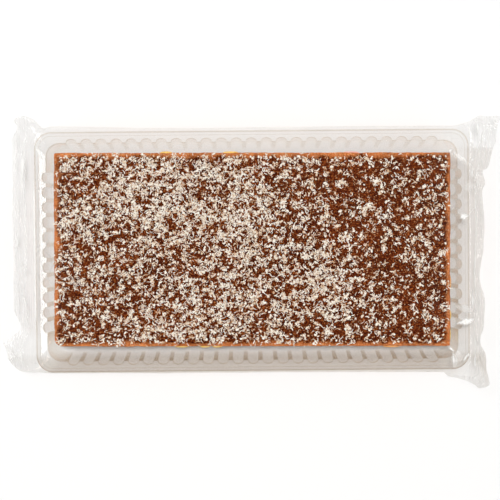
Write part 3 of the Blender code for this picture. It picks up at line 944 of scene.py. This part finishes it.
def strip(first, last, count, swell, drop):
    """Rings from one loop to the next: swell and drop bow the film out on its way."""
    rings = []
    for step in range(count + 1):
        share = step / count
        ring = first + (last - first) * share ** swell
        ring[:, 2] = first[:, 2] + (last[:, 2] - first[:, 2]) * share ** drop
        rings.append(ring)
    return rings


def crimped(first, last, side):
    """The seal band: both films pressed together in fine ribs along the seal."""
    width = np.linalg.norm(last[:, :2] - first[:, :2], axis=1)
    rings = []
    for step in range(1, SEAL_RINGS + 1):
        share = step / SEAL_RINGS
        ring = first + (last - first) * share
        rib = np.sin(2 * np.pi * share * width / CRIMP_PITCH)
        ring[:, 2] += CRIMP_HEIGHT * rib * at_end ** 3 * min(1.0, share * 8)
        if step < SEAL_RINGS:
            ring[:, 2] += side * FILM_HALF
        rings.append(ring)
    return rings


# The rings run from the middle of the top panel over the rim, down the slope and across the
# seal to the cut edge, then back underneath to the middle of the base.
PANEL_INSETS = (0.0625, 0.052, 0.041, 0.031, 0.023, 0.018, 0.0155, 0.0135, 0.012, 0.0105, 0.009,
                0.0078, 0.0066, 0.0058, 0.0051, 0.0044, 0.0038, 0.0032, 0.0026, 0.0020, 0.0014,
                0.0007)
UNDER_INSETS = (0.0008, 0.002, 0.006, 0.015, 0.030, 0.052)
top_seal, under_seal = level(seal_line, seal_height), level(seal_line, under_height)
last_ring = level(cut_edge, edge_height)
rings = []
for inset in PANEL_INSETS:
    radius = max(RIM_RADIUS - inset * 0.3, 0.002)
    rings.append(level(rounded_loop(tray_half.x - inset, tray_half.y - inset, radius), top_level))
rings += strip(level(rim_edge, top_level), top_seal, SLOPE_RINGS, 0.72, 1.25)
rings += crimped(top_seal, last_ring, 1)
top_count = len(rings)
rings += crimped(under_seal, last_ring, -1)[:-1][::-1]
rings += strip(level(base_edge, 2 * UNDER_HEIGHT), under_seal, UNDER_RINGS, 0.9, 1.15)[::-1]
for inset in UNDER_INSETS:
    rings.append(level(rounded_loop(tray_half.x - FOLD_UNDER[0] - inset,
                                    tray_half.y - FOLD_UNDER[1] - inset, 0.0060), UNDER_HEIGHT))

wrap_points = np.concatenate(rings)
panels = [range(loop_count)[::-1], range(len(wrap_points) - loop_count, len(wrap_points))]
wrap = closed_solid("film_wrap_sheet", wrap_points, ring_quads(len(rings), loop_count) + panels)
wrap.data.update()

normals = np.zeros(len(wrap_points) * 3, np.float32)
wrap.data.vertex_normals.foreach_get("vector", normals)
normals = normals.reshape(-1, 3)
ring_number = np.repeat(np.arange(len(rings)), loop_count)
loop_number = np.tile(np.arange(loop_count), len(rings))
ends, ears = at_end[loop_number], at_ear[loop_number]
panel = len(PANEL_INSETS)
slope_end = panel + SLOPE_RINGS + 1
on_panel = ring_number < panel
slope_share = np.clip((ring_number - panel) / (SLOPE_RINGS + 1), 0, 1)
on_slope = ((ring_number > panel) & (ring_number < slope_end)) * np.sin(np.pi * slope_share) ** 0.8
on_seal = ((ring_number >= slope_end) & (ring_number < top_count + SEAL_RINGS - 1)) * 1.0
from_end = np.clip((np.abs(wrap_points[:, 0]) - (tray_half.x - END_CRUMPLE)) / END_CRUMPLE, 0, 1)
from_rim = np.append(PANEL_INSETS, 0.0)[np.minimum(ring_number, panel)]
# each fold: its direction, the distance to the next, its height and its phase
pleats = crease(wrap_points, (
    ((0.25, 1, 0.2), 0.0065, 0.00034, 0.3), ((-0.45, 1, 0.1), 0.0098, 0.00042, 0.8),
    ((1, 0.12, 0.4), 0.0043, 0.00026, 0.1), ((0.8, -0.6, 0.3), 0.0150, 0.00045, 0.5)))
ripples = crease(wrap_points, (
    ((0.35, 1, 0), 0.013, 0.00030, 0.2), ((-0.6, 1, 0), 0.021, 0.00042, 0.7),
    ((1, 0.3, 0), 0.012, 0.00022, 0.4)))
soft = np.array([noise.noise(Vector(point) / 0.030) for point in wrap_points])
push = (pleats * on_slope * (0.22 + 0.28 * ends + 0.24 * ears)
        + 0.35 * pleats * on_seal * np.clip(0.8 * ends + ears, 0, 1)
        + ripples * (on_panel * from_end ** 1.5 * np.clip(from_rim / 0.003, 0, 1))
        + 0.00018 * soft * (ring_number < panel - 3))
over_rim = (ring_number <= panel + 2) & (ring_number > panel - 2)
push = np.where(over_rim, np.maximum(push, 0.0), push)
wrap_points = wrap_points + normals * push[:, None]
wrap.data.vertices.foreach_set("co", wrap_points.astype(np.float32).ravel())
wrap.data.update()


def painted_glint(points, x, y, length, width, turn, strength):
    """A spindle-shaped painted highlight: how much white it paints on the film."""
    away_x, away_y = points[:, 0] - x * MM, points[:, 1] - y * MM
    turn = math.radians(turn)
    along = (away_x * math.cos(turn) + away_y * math.sin(turn)) / (length * MM / 2)
    across = (away_y * math.cos(turn) - away_x * math.sin(turn)) / (width * MM / 2)
    inside = np.clip((1.15 - np.abs(along) - np.abs(across)) / 0.3, 0, 1)
    return strength * inside * (ring_number < top_count)


painted_shine = np.max([painted_glint(wrap_points, *fold) for fold in PAINTED_GLINTS], axis=0)
seal_start = ((ring_number >= slope_end - 1) & (ring_number <= slope_end)) * ends
past_rim = np.clip((wrap_points[:, 0] - tray_half.x) / 0.002, 0, 1)
# painted shade on the film: the front, and the right past the rim
in_shade = (0.42 * far_side(wrap_points)
            + 0.26 * past_rim * (wrap_points[:, 1] < tray_half.y - BACK_CORNER))
# the milky attribute holds the seals' own milkiness and the painted highlights of the glints
for name, values in (
        ("milky", 0.001 + 0.02 * np.clip(on_seal * (ends + ears), 0, 1) + 0.20 * seal_start
         + 0.95 * painted_shine),
        ("crumple", (on_slope ** 0.5 + on_seal) * (0.10 + 0.08 * ends + 0.40 * ears)
         + 0.45 * on_panel * from_end ** 2),
        ("crimp", (on_seal + 0.7 * on_slope ** 0.5) * ends),
        ("shade", in_shade * (1 - 0.7 * ears))):
    float_attribute(wrap.data, name, np.clip(values, 0, 1))


def film_haze(tree, place):
    """Milky where it is pressed, with painted highlights where it would catch the light, and along
    the creases of its crumples, whitened folds with painted highlights: the crumples are cells
    with straight sides, some paler than others."""
    drawn = add_node(tree, "ShaderNodeMapping", {
        "Vector": place, "Rotation": (0.0, 0.0, 0.35), "Scale": (1.25, 0.62, 0.5)}).outputs[0]
    tone = split_node(tree, cells_node(tree, drawn, 120.0, "Color"))["X"]
    sides = cells_node(tree, drawn, 120.0, "Distance", "DISTANCE_TO_EDGE")
    # painted highlights along some of the creases
    line = ramp_node(tree, sides, ((0.0, 1.0), (0.028, 0.35), (0.055, 0.0)))
    lit = ramp_node(tree, noise_node(tree, place, 45.0, 1.0), ((0.46, 0.05), (0.60, 1.0)))
    creased = math_node(tree, "MULTIPLY_ADD", math_node(tree, "MULTIPLY", line, lit), 0.42,
                        math_node(tree, "MULTIPLY", tone, 0.05))
    stretched = add_node(tree, "ShaderNodeMapping", {"Vector": place, "Scale": (1.0, 0.05, 0.05)})
    rib = ramp_node(tree, noise_node(tree, stretched.outputs[0], 900.0, 2.0, 0.6),
                    ((0.50, 0.0), (0.70, 1.0)))
    total = math_node(tree, "MULTIPLY_ADD", creased, attribute_node(tree, "crumple"),
                      attribute_node(tree, "milky"))
    crimps = math_node(tree, "MULTIPLY", rib, attribute_node(tree, "crimp"))
    return math_node(tree, "MINIMUM", math_node(tree, "MULTIPLY_ADD", crimps, 0.20, total), 1.0)


wrap.data.materials.append(clear_sheet(
    "packing_film", square_on=0.022, glancing=0.70, roughness=0.06, through=(0.962, 0.961, 0.958),
    edge_on=(0.92, 0.91, 0.89), haze=film_haze))
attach(wrap, "root")
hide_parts("film_wrap")


# ---- floor, light and camera ---------------------------------------------------------------
FLOOR_REACH, FLOOR_DROP = 3.0, 0.0006
floor_corners = [(x * FLOOR_REACH, y * FLOOR_REACH, -FLOOR_DROP)
                 for x, y in ((-1, -1), (1, -1), (1, 1), (-1, 1))]
floor = mesh_object("floor", floor_corners, [(0, 1, 2, 3)], smooth=False)
floor.data.materials.append(
    new_material("pale floor", Base_Color=(0.86, 0.86, 0.86, 1.0), Roughness=0.9)[0])

world = bpy.data.worlds.new("studio")
bpy.context.scene.world = world
world.use_nodes = True
sky = world.node_tree
direction = sky.nodes.new("ShaderNodeTexCoord").outputs["Generated"]
glow = ramp_node(sky, split_node(sky, direction)["Z"], (
    (0.0, (0.87, 0.86, 0.84)), (0.15, (0.77, 0.76, 0.74)), (0.40, (0.385, 0.375, 0.36)),
    (0.72, (0.385, 0.375, 0.36)), (0.93, (0.03, 0.03, 0.03))))
feed(sky, sky.nodes["Background"], {"Color": glow, "Strength": 1.0})


def area_light(name, place, target, width, height, power):
    data = bpy.data.lights.new(name, "AREA")
    data.shape = "RECTANGLE"
    data.size, data.size_y, data.energy, data.color = width, height, power, (1.0, 1.0, 0.998)
    lamp = link(bpy.data.objects.new(name, data))
    lamp.location = place
    lamp.rotation_euler = (Vector(target) - Vector(place)).to_track_quat("-Z", "Y").to_euler()
    return lamp


area_light("key", (-1.10, 0.90, 2.0), (0, 0, 0), 1.0, 1.0, 17.0)
# a narrow strip low on the right, mirrored in the tray's left shoulder
strip_lamp = area_light("strip", (1.114, -0.03, 0.881), (-tray_half.x, 0, tray_high.z),
                        1.6, 0.20, 10.8)
strip_lamp.visible_diffuse = False
for name, place, span, power in (("overhead", (-0.05, 0.22, 1.9), 0.3, 21.5),
                                 ("fill", (1.1, -0.9, 1.5), 1.4, 6.5)):
    area_light(name, place, (0, 0, 0), span, span, power).visible_glossy = False

CAMERA_HEIGHT = 0.82
CAMERA_TILT = math.radians(1.2)
VIEW_WIDTH = 0.280
aim = Vector((-0.0011, 0.0005, tray_high.z))
camera_data = bpy.data.cameras.new("camera")
camera_data.sensor_width = 36.0
camera_data.lens = 36.0 * CAMERA_HEIGHT / VIEW_WIDTH
camera_data.clip_start = 0.01
camera = link(bpy.data.objects.new("camera", camera_data))
camera.location = aim + Vector((0, CAMERA_HEIGHT * math.sin(CAMERA_TILT),
                                CAMERA_HEIGHT * math.cos(CAMERA_TILT)))
camera.rotation_euler = (-CAMERA_TILT, 0, math.radians(-0.5))
bpy.context.scene.camera = camera
bpy.context.scene.view_settings.view_transform = "Standard"

bpy.context.view_layer.update()
